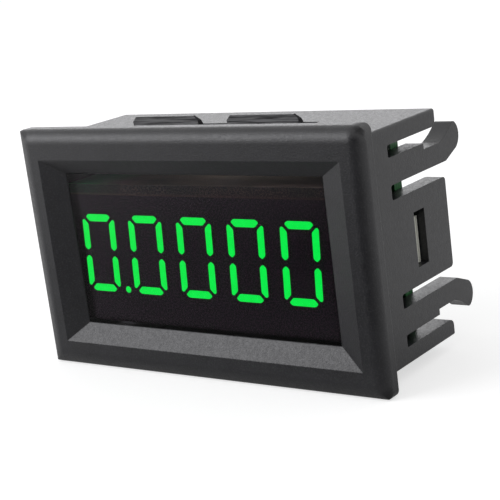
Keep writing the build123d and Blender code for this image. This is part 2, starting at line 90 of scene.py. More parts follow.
def ramp(tree, factor, low, high, color_low, color_high):
    """Colour that goes from one value to another as the factor passes between two limits."""
    node = tree.nodes.new("ShaderNodeValToRGB")
    node.color_ramp.elements[0].position = low
    node.color_ramp.elements[1].position = high
    node.color_ramp.elements[0].color = (*color_low, 1)
    node.color_ramp.elements[1].color = (*color_high, 1)
    tree.links.new(factor, node.inputs["Fac"])
    return node.outputs["Color"]


def between(tree, factor, low, high, from_low=0.0, from_high=1.0):
    """Number that goes from low to high as the factor passes between two limits."""
    node = tree.nodes.new("ShaderNodeMapRange")
    node.inputs["From Min"].default_value = from_low
    node.inputs["From Max"].default_value = from_high
    node.inputs["To Min"].default_value = low
    node.inputs["To Max"].default_value = high
    tree.links.new(factor, node.inputs["Value"])
    return node.outputs["Result"]


def math_node(tree, operation, first, second=0.0):
    """One sum, product or comparison of two numbers."""
    node = tree.nodes.new("ShaderNodeMath")
    node.operation = operation
    feed(tree, node.inputs[0], first)
    feed(tree, node.inputs[1], second)
    return node.outputs[0]


def mixed(tree, factor, color_a, color_b):
    """Colour that goes from a to b with the factor."""
    node = tree.nodes.new("ShaderNodeMix")
    node.data_type = "RGBA"
    feed(tree, node.inputs["Factor"], factor)
    for socket, color in ((node.inputs[6], color_a), (node.inputs[7], color_b)):
        feed(tree, socket, color if isinstance(color, bpy.types.NodeSocket) else (*color, 1))
    return node.outputs[2]


def rounded_edges(tree, radius):
    """Normal with every sharp edge rounded off, and a mask that is 1 on those edges."""
    rounded = tree.nodes.new("ShaderNodeBevel")
    rounded.samples = 6
    rounded.inputs["Radius"].default_value = radius
    face = tree.nodes.new("ShaderNodeNewGeometry")
    likeness = tree.nodes.new("ShaderNodeVectorMath")
    likeness.operation = "DOT_PRODUCT"
    tree.links.new(rounded.outputs["Normal"], likeness.inputs[0])
    tree.links.new(face.outputs["Normal"], likeness.inputs[1])
    return rounded.outputs["Normal"], between(tree, likeness.outputs["Value"], 1.0, 0.0, 0.8, 0.99)


def bump(tree, shader, height, distance, strength=1.0, normal=None):
    """Surface relief of a real depth, in metres."""
    node = tree.nodes.new("ShaderNodeBump")
    node.inputs["Distance"].default_value = distance
    node.inputs["Strength"].default_value = strength
    tree.links.new(height, node.inputs["Height"])
    if normal:
        tree.links.new(normal, node.inputs["Normal"])
    tree.links.new(node.outputs["Normal"], shader.inputs["Normal"])


def dress(node_name, material):
    """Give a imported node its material."""
    mesh = nodes[node_name].data
    mesh.materials.clear()
    mesh.materials.append(material)


def split(tree, vector):
    """The x, y and z of a vector, by name."""
    node = tree.nodes.new("ShaderNodeSeparateXYZ")
    tree.links.new(vector, node.inputs[0])
    return node.outputs


def surface_direction(tree):
    """The x, y and z of the surface's own direction, by name."""
    return split(tree, tree.nodes.new("ShaderNodeNewGeometry").outputs["Normal"])


def stretched(tree, coordinates, scale):
    """Coordinates scaled along each axis: a pattern on them is drawn out where the scale is small."""
    node = tree.nodes.new("ShaderNodeMapping")
    node.inputs["Scale"].default_value = scale
    tree.links.new(coordinates, node.inputs["Vector"])
    return node.outputs["Vector"]


moulded_black, tree, shader = new_material("moulded_black_abs")
place = object_coordinates(tree)
grain = noise(tree, place, 0.17 * MM)
flow = noise(tree, place, 3.0 * MM)
soft_normal, edges = rounded_edges(tree, 0.12 * MM)

# The real rim is rounded wider than the edge of the solid. The normal is blended over that width,
# from the flat front to the flat sides, so this rounding is shading and not shape.
parts = split(tree, place)
bezel_half_width = 24.0 * MM
bezel_half_height = 14.5 * MM
rim_blend = 1.8 * MM
rim_normal = tree.nodes.new("ShaderNodeCombineXYZ")
tilt_squares = []
for axis, half in (("X", bezel_half_width), ("Z", bezel_half_height)):
    away = between(tree, math_node(tree, "ABSOLUTE", parts[axis]), 0.0, 1.0, half - rim_blend, half)
    signed = math_node(tree, "MULTIPLY", away, math_node(tree, "SIGN", parts[axis]))
    tree.links.new(signed, rim_normal.inputs[axis])
    tilt_squares.append(math_node(tree, "MULTIPLY", away, away))
forward = math_node(tree, "SUBTRACT", 1.0, math_node(tree, "ADD", *tilt_squares))
forward = math_node(tree, "SQRT", math_node(tree, "MAXIMUM", forward, 0.0))
tree.links.new(math_node(tree, "MULTIPLY", forward, -1.0), rim_normal.inputs["Y"])
unit_normal = tree.nodes.new("ShaderNodeVectorMath")
unit_normal.operation = "NORMALIZE"
tree.links.new(rim_normal.outputs[0], unit_normal.inputs[0])

# The blend keeps clear of the bevelled opening and of everything behind the bezel
bevel_half_width = 21.15 * MM
bevel_half_height = 11.25 * MM
bevel_drop = 0.31 * MM
bezel_back = -0.05 * MM
beside = math_node(tree, "SUBTRACT", math_node(tree, "ABSOLUTE", parts["X"]), bevel_half_width)
above = math_node(tree, "ABSOLUTE", math_node(tree, "ADD", parts["Z"], bevel_drop))
above = math_node(tree, "SUBTRACT", above, bevel_half_height)
round_opening = math_node(tree, "GREATER_THAN", math_node(tree, "MAXIMUM", beside, above), 0.0)
on_bezel = math_node(tree, "LESS_THAN", parts["Y"], bezel_back)
on_rim = math_node(tree, "MULTIPLY", round_opening, on_bezel)
blended = tree.nodes.new("ShaderNodeMix")
blended.data_type = "VECTOR"
tree.links.new(on_rim, blended.inputs["Factor"])
tree.links.new(soft_normal, blended.inputs[4])
tree.links.new(unit_normal.outputs[0], blended.inputs[5])
soft_normal = blended.outputs[1]

# The front faces of the tongues' noses are painted much paler in lines: partly scuffs from the edge
# of the panel, partly painted light. Their flanks are rougher
nose_depth = 5.2 * MM
body_top = 12.97 * MM
tongue_reach = 15.0 * MM
facing = surface_direction(tree)
nose_front = math_node(tree, "LESS_THAN", facing["Y"], -0.9)
near_nose = math_node(tree, "COMPARE", parts["Y"], nose_depth)
near_nose.node.inputs[2].default_value = 0.05 * MM
nose = math_node(tree, "MULTIPLY", nose_front, near_nose)
scuffs = noise(tree, stretched(tree, place, (0.05, 1, 1)), 0.17 * MM)
tint = ramp(tree, flow, 0.35, 0.65, (0.0084, 0.0082, 0.0104), (0.0128, 0.0125, 0.0152))
speckled = mixed(tree, between(tree, grain, 0.0, 0.6, 0.5, 0.7), tint, (0.036, 0.036, 0.040))
# Edges painted paler: partly wear, partly a painted highlight
worn_and_highlit = mixed(tree, math_node(tree, "MULTIPLY", edges, 0.5), speckled, (0.035, 0.035, 0.038))
# Painted light: the nose faces are made far paler than the black plastic, with scuff lines
scuffed_and_lit_noses = ramp(tree, scuffs, 0.38, 0.62, (0.03, 0.03, 0.032), (0.21, 0.21, 0.215))
tree.links.new(mixed(tree, nose, worn_and_highlit, scuffed_and_lit_noses), shader.inputs["Base Color"])
flank = math_node(tree, "GREATER_THAN", facing["X"], 0.3)
above_body = math_node(tree, "GREATER_THAN", parts["Z"], body_top)
behind_bezel = math_node(tree, "SUBTRACT", 1.0, on_bezel)
near_tongue = math_node(tree, "LESS_THAN", math_node(tree, "ABSOLUTE", parts["X"]), tongue_reach)
for limit in (above_body, behind_bezel, near_tongue):
    flank = math_node(tree, "MULTIPLY", flank, limit)
eroded = between(tree, grain, 0.33, 0.46, 0.36, 0.64)
blotches = between(tree, noise(tree, place, 0.5 * MM, detail=2.0), -0.03, 0.035, 0.35, 0.65)
uneven = math_node(tree, "ADD", eroded, blotches)
rougher = math_node(tree, "ADD", uneven, math_node(tree, "MULTIPLY", flank, 0.5))
tree.links.new(rougher, shader.inputs["Roughness"])
bump(tree, shader, grain, 0.035 * MM, 0.8, soft_normal)
shader.inputs["IOR"].default_value = 1.53
dress("housing", moulded_black)


# Filter: a plate of smoke-tinted acrylic that lies in a pocket behind the bevel. Its front has a
# very fine finish against glare, which an index lower than acrylic's 1.49 stands for here. The
# lowest part of the plate is darker, because the pocket and the seat of the display shade it.
tinted_acrylic, tree, shader = new_material("tinted_acrylic")
place = object_coordinates(tree)
parts = split(tree, place)
pocket_shade = -9.4 * MM
pocket_light = -8.6 * MM
clearness = between(tree, parts["Z"], 0.0, 1.0, pocket_shade, pocket_light)
smoke = ramp(tree, clearness, 0.0, 1.0, (0.03, 0.03, 0.03), (0.50, 0.47, 0.52))
tree.links.new(smoke, shader.inputs["Base Color"])
shader.inputs["Transmission Weight"].default_value = 1.0
shader.inputs["IOR"].default_value = 1.22
matte_grain = noise(tree, place, 0.2 * MM)
tree.links.new(between(tree, matte_grain, 0.02, 0.06), shader.inputs["Roughness"])
dress("filter_window", tinted_acrylic)


# Display case: moulded case of the five-digit display, with a matte black film on its face.
# The film stops short of the upper edge, where the dull brown of bare filled epoxy shows. Its left
# end has painted green light, and its upper side is painted paler, more so to the right, as painted light.
def film_tint(tree, grain):
    """The near-black of the film, with a fine violet-brown speckle."""
    return ramp(tree, grain, 0.44, 0.60, (0.004, 0.002, 0.004), (0.090, 0.050, 0.072))


display_black, tree, shader = new_material("display_face_black")
place = object_coordinates(tree)
face_grain = noise(tree, place, 0.2 * MM, detail=2.0)
parts = split(tree, place)
low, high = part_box("display_case")
upper_side = math_node(tree, "GREATER_THAN", surface_direction(tree)["Z"], 0.5)
# Painted green light over the left end, on the band and on the upper side
painted_green_end = between(tree, parts["X"], 1.0, 0.0, low[0] + 3 * MM, low[0] + 8 * MM)
patches = noise(tree, place, 2.6 * MM)
brown_patches = ramp(tree, patches, 0.42, 0.60, (0.12, 0.115, 0.075), (0.24, 0.165, 0.12))
epoxy_and_green_light = mixed(tree, painted_green_end, brown_patches, (0.03, 0.19, 0.06))
above_film = between(tree, parts["Z"], 0.0, 1.0, high[2] - 1.32 * MM, high[2] - 1.24 * MM)
film_edge = between(tree, parts["Z"], 1.0, 0.0, high[2] - 1.2 * MM, high[2] - 0.9 * MM)
mottled = mixed(tree, between(tree, face_grain, 0.35, 1.0, 0.56, 0.46), epoxy_and_green_light, (0.02, 0.02, 0.017))
reddened = mixed(tree, math_node(tree, "MULTIPLY", film_edge, 0.4), mottled, (0.20, 0.10, 0.08))
faced = mixed(tree, above_film, film_tint(tree, face_grain), reddened)
# Painted light: the upper side is paler than the front, and paler still towards the right
painted_light_to_right = between(tree, parts["X"], 0.25, 1.0, -6 * MM, 16 * MM)
painted_lit_brown = mixed(tree, painted_light_to_right, brown_patches, (0.72, 0.60, 0.44))
painted_lit_top = mixed(tree, painted_green_end, painted_lit_brown, (0.02, 0.48, 0.12))
tree.links.new(mixed(tree, upper_side, faced, painted_lit_top), shader.inputs["Base Color"])
shader.inputs["Roughness"].default_value = 0.6
bump(tree, shader, face_grain, 0.01 * MM, 0.4)
dress("display_case", display_black)


# Segments: green resin cast in the wells of the case, over the light-emitting chips. It spreads
# their light, so the segments that are lit glow almost evenly, and those that are off stay as dark
# as the film round them.
lit_green, tree, shader = new_material("segment_resin_lit")
place = object_coordinates(tree)
shader.inputs["Base Color"].default_value = (0.004, 0.12, 0.012, 1)
shader.inputs["Roughness"].default_value = 0.5
shader.inputs["Specular IOR Level"].default_value = 0.2
glow = ramp(tree, noise(tree, place, 0.5 * MM), 0.35, 0.65, (0.0001, 0.92, 0.060), (0.0002, 1.0, 0.078))
tree.links.new(glow, shader.inputs["Emission Color"])
shader.inputs["Emission Strength"].default_value = 1.8
dress("lit_segments", lit_green)

unlit_resin, tree, shader = new_material("segment_resin_unlit")
place = object_coordinates(tree)
face_grain = noise(tree, place, 0.2 * MM, detail=2.0)
tree.links.new(film_tint(tree, face_grain), shader.inputs["Base Color"])
shader.inputs["Roughness"].default_value = 0.55
dress("unlit_segments", unlit_resin)


# Circuit board: glass-epoxy laminate under green solder mask, which is a little uneven and glossy.
# Its long edges are routed and dark green, partly their own green and partly painted shade from the
# slots of the housing. Its ends, where it was snapped out of a larger panel, show the pale glass cloth in
# layers.
green_board, tree, shader = new_material("green_laminate")
place = object_coordinates(tree)
mask = ramp(tree, noise(tree, place, 1.6 * MM), 0.35, 0.65, (0.012, 0.082, 0.022), (0.018, 0.108, 0.032))
low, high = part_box("circuit_board")
parts = split(tree, place)
facing_back = math_node(tree, "ABSOLUTE", surface_direction(tree)["Y"])
cut_edge = between(tree, facing_back, 1.0, 0.0, 0.4, 0.6)
from_middle = math_node(tree, "ABSOLUTE", parts["X"])
snapped_end = between(tree, from_middle, 0.0, 1.0, high[0] - 0.1 * MM, high[0] - 0.05 * MM)
layer_pitch = 1.4 * MM
weave = 0.8 * MM
layers = tree.nodes.new("ShaderNodeTexWave")
layers.bands_direction = "Y"
layers.inputs["Scale"].default_value = 1 / layer_pitch
layers.inputs["Distortion"].default_value = 3.0
layers.inputs["Detail Scale"].default_value = 1 / weave
tree.links.new(place, layers.inputs["Vector"])
# The long edges: their own green, darkened as painted shade
routed_in_painted_shade = ramp(tree, layers.outputs["Fac"], 0.2, 0.8, (0.020, 0.15, 0.040), (0.045, 0.24, 0.070))
snapped = ramp(tree, layers.outputs["Fac"], 0.2, 0.8, (0.50, 0.51, 0.44), (0.80, 0.80, 0.72))
cloth = mixed(tree, snapped_end, routed_in_painted_shade, snapped)
tree.links.new(mixed(tree, cut_edge, mask, cloth), shader.inputs["Base Color"])
tree.links.new(between(tree, noise(tree, place, 0.7 * MM), 0.25, 0.4), shader.inputs["Roughness"])
bump(tree, shader, noise(tree, place, 0.3 * MM), 0.008 * MM, 0.5)
dress("circuit_board", green_board)


# Copper lines under the mask, and the white ink that outlines the larger parts: each is a flat
# ribbon along its own route on the back of the board. The mask is a paler green over copper.
def start_tree(name, sizes):
    """A node tree that takes a mesh, sizes by name and a material, and those inputs."""
    tree = bpy.data.node_groups.new(name, "GeometryNodeTree")
    tree.interface.new_socket("Geometry", in_out="INPUT", socket_type="NodeSocketGeometry")
    tree.interface.new_socket("Geometry", in_out="OUTPUT", socket_type="NodeSocketGeometry")
    for size in sizes:
        tree.interface.new_socket(size, in_out="INPUT", socket_type="NodeSocketFloat")
    tree.interface.new_socket("Material", in_out="INPUT", socket_type="NodeSocketMaterial")
    return tree, tree.nodes.new("NodeGroupInput").outputs


def finish_tree(tree, geometry, material):
    """The end of every tree: real geometry in one material."""
    real = tree.nodes.new("GeometryNodeRealizeInstances")
    coated = tree.nodes.new("GeometryNodeSetMaterial")
    tree.links.new(geometry, real.inputs["Geometry"])
    tree.links.new(real.outputs["Geometry"], coated.inputs["Geometry"])
    tree.links.new(material, coated.inputs["Material"])
    tree.links.new(coated.outputs["Geometry"], tree.nodes.new("NodeGroupOutput").inputs["Geometry"])


def along_routes(name):
    """Geometry Nodes that lay a flat ribbon along every line of a wire mesh."""
    tree, given = start_tree(name, ("Width", "Thickness"))
    lines = tree.nodes.new("GeometryNodeMeshToCurve")
    tree.links.new(given["Geometry"], lines.inputs["Mesh"])
    section = tree.nodes.new("GeometryNodeCurvePrimitiveCircle")
    section.inputs["Resolution"].default_value = 8
    tree.links.new(math_node(tree, "MULTIPLY", given["Width"], 0.5), section.inputs["Radius"])
    ribbon = tree.nodes.new("GeometryNodeCurveToMesh")
    ribbon.inputs["Fill Caps"].default_value = True
    tree.links.new(lines.outputs["Curve"], ribbon.inputs["Curve"])
    tree.links.new(section.outputs["Curve"], ribbon.inputs["Profile Curve"])
    squeeze = tree.nodes.new("ShaderNodeCombineXYZ")
    squeeze.inputs["X"].default_value = 1
    squeeze.inputs["Z"].default_value = 1
    tree.links.new(math_node(tree, "DIVIDE", given["Thickness"], given["Width"]), squeeze.inputs["Y"])
    flat = tree.nodes.new("GeometryNodeTransform")
    tree.links.new(ribbon.outputs["Mesh"], flat.inputs["Geometry"])
    tree.links.new(squeeze.outputs[0], flat.inputs["Scale"])
    finish_tree(tree, flat.outputs["Geometry"], given["Material"])
    return tree


def grown(name, seed_mesh, node_tree, inputs, depth):
    """Make a plain piece by a node tree from a seed mesh, and move its mesh back to a depth."""
    grower = bpy.data.objects.new(name + "_seed", seed_mesh)
    bpy.context.scene.collection.objects.link(grower)
    modifier = grower.modifiers.new("grow", "NODES")
    modifier.node_group = node_tree
    for item in node_tree.interface.items_tree:
        if item.in_out == "INPUT" and item.name in inputs:
            modifier[item.identifier] = inputs[item.name]
    evaluated = grower.evaluated_get(bpy.context.evaluated_depsgraph_get())
    mesh = bpy.data.meshes.new_from_object(evaluated)
    mesh.name = name
    mesh.transform(Matrix.Translation((0, depth, 0)))
    grower.modifiers.clear()
    bpy.data.objects.remove(grower)
    piece = bpy.data.objects.new(name, mesh)
    bpy.context.scene.collection.objects.link(piece)
    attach(piece, "root")


def wire_mesh(name, routes):
    """A mesh of lines through points (x, z), given in millimetres."""
    points = []
    lines = []
    for route in routes:
        lines += [(len(points) + step, len(points) + step + 1) for step in range(len(route) - 1)]
        points += [(x * MM, 0, z * MM) for x, z in route]
    mesh = bpy.data.meshes.new(name)
    mesh.from_pydata(points, lines, [])
    return mesh


board_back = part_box("circuit_board")[1][1]

# Columns (x) and rows (z) of the feet that the lines start from, in millimetres
pin_columns = [2.54 * step for step in range(-3, 4)]
pin_row = 5.66
resistor_columns = [3.0 * step - 10.5 for step in range(8)]
resistor_rows = (7.5, 9.0)
chip_columns = [0.65 * step - 11.925 for step in range(10)]
chip_rows = (-1.2, 3.6)
driver_columns = (-16.6, -12.2, -7.8, -3.4, 1.0)
driver_rows = (-4.6, -2.6)
driver_spread = 0.95
converter_columns = [0.4 + 1.27 * (step - 1.5) for step in range(4)]
converter_rows = (-1.2, 3.4)
signal_routes = []
vias = []
for x, pin_x in zip(resistor_columns[1:], pin_columns):
    signal_routes.append([(x, resistor_rows[0]), (x, 7.1), (pin_x, 6.5), (pin_x, pin_row)])
for step, x in enumerate(resistor_columns):
    rise = 10.1 + 0.5 * (step % 2)
    signal_routes.append([(x, resistor_rows[1]), (x, rise)])
    vias.append((x, rise))
for step, x in enumerate(chip_columns):
    fan = (step - 4.5) / 4.5 - 1.8
    signal_routes.append([(x, chip_rows[0]), (x, -0.3), (x * 0.8 + fan, 0.6)])
    signal_routes.append([(x, chip_rows[1]), (x, 4.7)])
    vias.append((x, 4.7))
for middle in driver_columns:
    for x in (middle - driver_spread, middle + driver_spread):
        signal_routes.append([(x, driver_rows[0]), (x, -5.2)])
        vias.append((x, -5.2))
    signal_routes.append([(middle, driver_rows[1]), (middle, -1.9), (middle + 0.8, -1.1)])
    vias.append((middle + 0.8, -1.1))
for step, x in enumerate(converter_columns):
    drop = -2.0 - 0.4 * step
    signal_routes.append([(x, converter_rows[1]), (x, 4.6)])
    signal_routes.append([(x, converter_rows[0]), (x, drop)])
    vias.append((x, 4.6))
    vias.append((x, drop))
power_routes = [
    [(-11.2, -8.2), (-9.2, -10.2), (12.0, -10.2), (16.9, -5.4), (16.9, -3.4)],
    [(-13.2, -8.2), (-13.2, -10.6), (-12.2, -11.0), (18.6, -11.0), (19.6, -10.0), (19.6, 5.4), (18.0, 6.9)],
    [(12.0, -3.4), (12.0, -0.6), (12.1, 0.4)],
    [(13.6, 3.2), (13.6, 5.2), (9.4, 5.2), (7.0, 3.6)],
    [(15.1, 0.2), (15.1, -0.8), (18.0, -0.8), (18.0, 8.6)],
    [(-15.2, -8.2), (-19.4, -8.2), (-19.9, -7.6), (-19.9, 4.6), (-18.0, 6.6), (-13.4, 6.6)],
]
ribbons = along_routes("flat_ribbons")

masked_copper, tree, shader = new_material("masked_copper")
place = object_coordinates(tree)
uneven = noise(tree, place, 0.8 * MM)
mask_green = ramp(tree, uneven, 0.35, 0.65, (0.035, 0.17, 0.05), (0.055, 0.23, 0.075))
tree.links.new(mask_green, shader.inputs["Base Color"])
tree.links.new(between(tree, uneven, 0.22, 0.34), shader.inputs["Roughness"])
for name, routes, width in (
    ("signal", signal_routes, 0.26 * MM),
    ("power", power_routes, 0.9 * MM),
):
    wires = wire_mesh(name + "_wires", routes)
    copper = {"Width": width, "Thickness": 0.06 * MM, "Material": masked_copper}
    grown(name + "_lines", wires, ribbons, copper, board_back)


def outline(low_x, high_x, low_z, high_z):
    """A closed rectangle as one route."""
    return [(low_x, low_z), (high_x, low_z), (high_x, high_z), (low_x, high_z), (low_x, low_z)]


white_ink, tree, shader = new_material("white_ink")
place = object_coordinates(tree)
screened = noise(tree, place, 0.12 * MM, detail=4.0)
ink_white = ramp(tree, screened, 0.25, 0.6, (0.52, 0.54, 0.50), (0.78, 0.79, 0.76))
tree.links.new(ink_white, shader.inputs["Base Color"])
shader.inputs["Roughness"].default_value = 0.7
ink_routes = [
    outline(-12.5, -5.5, -1.0, 3.4),
    outline(-2.35, 3.15, -0.95, 3.35),
    outline(10.9, 16.3, 0.1, 3.6),
    outline(4.6, 9.4, -1.1, 3.7),
    outline(11.2, 17.6, -4.95, -1.85),
    outline(-17.4, -9.0, -10.7, -5.7),
]
inks = wire_mesh("ink_wires", ink_routes)
ink = {"Width": 0.15 * MM, "Thickness": 0.03 * MM, "Material": white_ink}
grown("ink_outlines", inks, ribbons, ink, board_back)


# Vias: plated holes that take a line to the other side of the board, drilled and then plated with
# copper. Each shows as a small ring, tinned like the feet of the leads.
def at_points(name, template):
    """Geometry Nodes that put a template at every point of a mesh, sized by the point's own size."""
    tree, given = start_tree(name, ("Size",))
    own_size = tree.nodes.new("GeometryNodeInputNamedAttribute")
    own_size.data_type = "FLOAT_VECTOR"
    own_size.inputs["Name"].default_value = "own_size"
    scale = tree.nodes.new("ShaderNodeVectorMath")
    scale.operation = "SCALE"
    tree.links.new(own_size.outputs["Attribute"], scale.inputs[0])
    tree.links.new(given["Size"], scale.inputs["Scale"])
    copies = tree.nodes.new("GeometryNodeInstanceOnPoints")
    tree.links.new(given["Geometry"], copies.inputs["Points"])
    tree.links.new(template(tree), copies.inputs["Instance"])
    tree.links.new(scale.outputs[0], copies.inputs["Scale"])
    finish_tree(tree, copies.outputs["Instances"], given["Material"])
    return tree


def sized_points(name, places, sizes):
    """A mesh of points (x, z) in metres, each with its own size along x, y and z."""
    mesh = bpy.data.meshes.new(name)
    mesh.from_pydata([(x, 0, z) for x, z in places], [], [])
    attribute = mesh.attributes.new("own_size", "FLOAT_VECTOR", "POINT")
    for item, size in zip(attribute.data, sizes):
        item.vector = size
    return mesh


def ring(tree):
    """A flat ring of outer radius 1, lying across Y."""
    centre_line = tree.nodes.new("GeometryNodeCurvePrimitiveCircle")
    centre_line.inputs["Resolution"].default_value = 14
    centre_line.inputs["Radius"].default_value = 0.72
    section = tree.nodes.new("GeometryNodeCurvePrimitiveCircle")
    section.inputs["Resolution"].default_value = 6
    section.inputs["Radius"].default_value = 0.28
    torus = tree.nodes.new("GeometryNodeCurveToMesh")
    tree.links.new(centre_line.outputs["Curve"], torus.inputs["Curve"])
    tree.links.new(section.outputs["Curve"], torus.inputs["Profile Curve"])
    turned = tree.nodes.new("GeometryNodeTransform")
    turned.inputs["Rotation"].default_value = (math.radians(-90), 0, 0)
    tree.links.new(torus.outputs["Mesh"], turned.inputs["Geometry"])
    return turned.outputs["Geometry"]


bright_tin, tree, shader = new_material("bright_tin")
place = object_coordinates(tree)
stain = noise(tree, place, 0.4 * MM)
tin = ramp(tree, stain, 0.3, 0.65, (0.46, 0.44, 0.39), (0.72, 0.72, 0.70))
tree.links.new(tin, shader.inputs["Base Color"])
tree.links.new(between(tree, stain, 0.42, 0.16), shader.inputs["Roughness"])
bump(tree, shader, noise(tree, place, 0.15 * MM), 0.01 * MM, 0.4)
shader.inputs["Metallic"].default_value = 1.0
via_size = (0.3 * MM, 0.08 * MM, 0.3 * MM)
via_points = sized_points("via_points", [(x * MM, z * MM) for x, z in vias], [via_size] * len(vias))
rings = at_points("rings", ring)
tinned = {"Size": 1.0, "Material": bright_tin}
grown("via_rings", via_points, rings, tinned, board_back)


# Solder fillets: a low bank of tin round the foot of every lead and soldered end, left by the
# reflow oven. Their places and sizes are the feet of the leads themselves.
def feet_of(node_name):
    """Rectangles (x, z, width, height) where the separate solids of a node stand on the board."""
    shape = bmesh.new()
    shape.from_mesh(nodes[node_name].data)
    bmesh.ops.remove_doubles(shape, verts=shape.verts, dist=0.001 * MM)
    waiting = dict.fromkeys(shape.verts)
    feet = []
    while waiting:
        island = [waiting.popitem()[0]]
        for vertex in island:
            for edge in vertex.link_edges:
                neighbour = edge.other_vert(vertex)
                if neighbour in waiting:
                    del waiting[neighbour]
                    island.append(neighbour)
        foot = [vertex.co for vertex in island if vertex.co.y < board_back + 0.01 * MM]
        left, right = min(point.x for point in foot), max(point.x for point in foot)
        lower, upper = min(point.z for point in foot), max(point.z for point in foot)
        feet.append(((left + right) / 2, (lower + upper) / 2, right - left, upper - lower))
    shape.free()
    return feet


def bank(tree):
    """A unit square block with sloping sides, standing on y = 0 and rising along Y."""
    block = tree.nodes.new("GeometryNodeMeshCone")
    corner_reach = math.sqrt(0.5)
    block.inputs["Vertices"].default_value = 4
    block.inputs["Radius Bottom"].default_value = corner_reach
    block.inputs["Radius Top"].default_value = corner_reach * 0.7
    block.inputs["Depth"].default_value = 1.0
    squared = tree.nodes.new("GeometryNodeTransform")
    squared.inputs["Rotation"].default_value = (0, 0, math.radians(45))
    upright = tree.nodes.new("GeometryNodeTransform")
    upright.inputs["Rotation"].default_value = (math.radians(-90), 0, 0)
    tree.links.new(block.outputs["Mesh"], squared.inputs["Geometry"])
    tree.links.new(squared.outputs["Geometry"], upright.inputs["Geometry"])
    return upright.outputs["Geometry"]


bank_places = []
bank_sizes = []
for name, margin, rise in (
    ("microcontroller_leads", 0.05 * MM, 0.10 * MM),
    ("converter_leads", 0.11 * MM, 0.10 * MM),
    ("regulator_leads", 0.22 * MM, 0.22 * MM),
    ("driver_leads", 0.14 * MM, 0.10 * MM),
    ("protection_diode_leads", 0.22 * MM, 0.12 * MM),
    ("resistor_ends", 0.14 * MM, 0.24 * MM),
    ("capacitor_ends", 0.16 * MM, 0.34 * MM),
):
    for x, z, width, height in feet_of(name):
        bank_places.append((x, z))
        bank_sizes.append((width + 2 * margin, rise, height + 2 * margin))
bank_points = sized_points("bank_points", bank_places, bank_sizes)
banks = at_points("banks", bank)
grown("solder_banks", bank_points, banks, tinned, board_back)


# Pins, leads, soldered ends and solder cones, in the same tin: bright where it has wetted the
# metal and slightly dull and stained where flux was left on it.
for name in (
    "display_pins",
    "display_solder",
    "microcontroller_leads",
    "converter_leads",
    "regulator_leads",
    "driver_leads",
    "resistor_ends",
    "capacitor_ends",
    "protection_diode_leads",
    "connector_pins",
    "connector_solder",
):
    dress(name, bright_tin)


# Chips, regulator and drivers: black filled epoxy, moulded round the leads, with a matte surface.
# A round dimple marks the first lead of the two large chips.
def distance_from(tree, coordinates, point):
    """How far the coordinates are from a point, in metres."""
    node = tree.nodes.new("ShaderNodeVectorMath")
    node.operation = "DISTANCE"
    tree.links.new(coordinates, node.inputs[0])
    node.inputs[1].default_value = point
    return node.outputs["Value"]


def chip_material(name, dimple_place=None, dimple_radius=0.3 * MM):
    """Matte black epoxy, with a dimple at a place (x, z) on the back face where one is given."""
    material, tree, shader = new_material(name)
    place = object_coordinates(tree)
    filler = noise(tree, place, 0.09 * MM, detail=4.0)
    tint = ramp(tree, filler, 0.3, 0.75, (0.014, 0.014, 0.015), (0.040, 0.040, 0.041))
    tree.links.new(tint, shader.inputs["Base Color"])
    if dimple_place:
        parts = split(tree, place)
        flat = tree.nodes.new("ShaderNodeCombineXYZ")
        tree.links.new(parts["X"], flat.inputs["X"])
        tree.links.new(parts["Z"], flat.inputs["Z"])
        reach = distance_from(tree, flat.outputs[0], (dimple_place[0], 0, dimple_place[1]))
        outside = between(tree, reach, 0.0, 1.0, dimple_radius * 0.8, dimple_radius)
        height = math_node(tree, "ADD", math_node(tree, "MULTIPLY", filler, 0.15), outside)
        tree.links.new(between(tree, outside, 0.25, 0.62), shader.inputs["Roughness"])
        bump(tree, shader, height, 0.08 * MM)
    else:
        shader.inputs["Roughness"].default_value = 0.6
        bump(tree, shader, filler, 0.012 * MM)
    return material


for name in ("microcontroller_body", "converter_body"):
    low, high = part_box(name)
    dimple = (high[0] - 0.7 * MM, low[2] + 0.7 * MM)
    dress(name, chip_material(name.replace("body", "epoxy"), dimple))
small_package = chip_material("small_package_epoxy")
for name in ("regulator_body", "driver_bodies"):
    dress(name, small_package)


# Protection diode: a two-lead package moulded in the same epoxy and soldered flat on the board,
# with a pale band printed across the cathode end of its back.
diode_epoxy = chip_material("diode_epoxy")
tree = diode_epoxy.node_tree
shader = tree.nodes["Principled BSDF"]
low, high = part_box("protection_diode_body")
parts = split(tree, object_coordinates(tree))
band = between(tree, parts["X"], 0.0, 1.0, high[0] - 0.95 * MM, high[0] - 0.90 * MM)
back_face = between(tree, parts["Y"], 0.0, 1.0, high[1] - 0.05 * MM, high[1] - 0.02 * MM)
epoxy = shader.inputs["Base Color"].links[0].from_socket
printed = mixed(tree, math_node(tree, "MULTIPLY", band, back_face), epoxy, (0.42, 0.42, 0.41))
tree.links.new(printed, shader.inputs["Base Color"])
dress("protection_diode_body", diode_epoxy)


# Resistors: blocks of white alumina with a printed film, snapped from a larger plate. The back is
# coated with black glass, and the tinned ends that hold them are pieces of their own.
resistor_glass, tree, shader = new_material("resistor_glass")
place = object_coordinates(tree)
low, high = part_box("resistor_chips")
parts = split(tree, place)
coated = between(tree, parts["Y"], 0.0, 1.0, high[1] - 0.08 * MM, high[1] - 0.05 * MM)
glass = ramp(tree, noise(tree, place, 0.2 * MM), 0.35, 0.65, (0.012, 0.012, 0.015), (0.024, 0.024, 0.028))
alumina = ramp(tree, noise(tree, place, 0.12 * MM), 0.3, 0.7, (0.60, 0.59, 0.56), (0.74, 0.73, 0.70))
tree.links.new(mixed(tree, coated, alumina, glass), shader.inputs["Base Color"])
tree.links.new(between(tree, coated, 0.6, 0.22), shader.inputs["Roughness"])
dress("resistor_chips", resistor_glass)


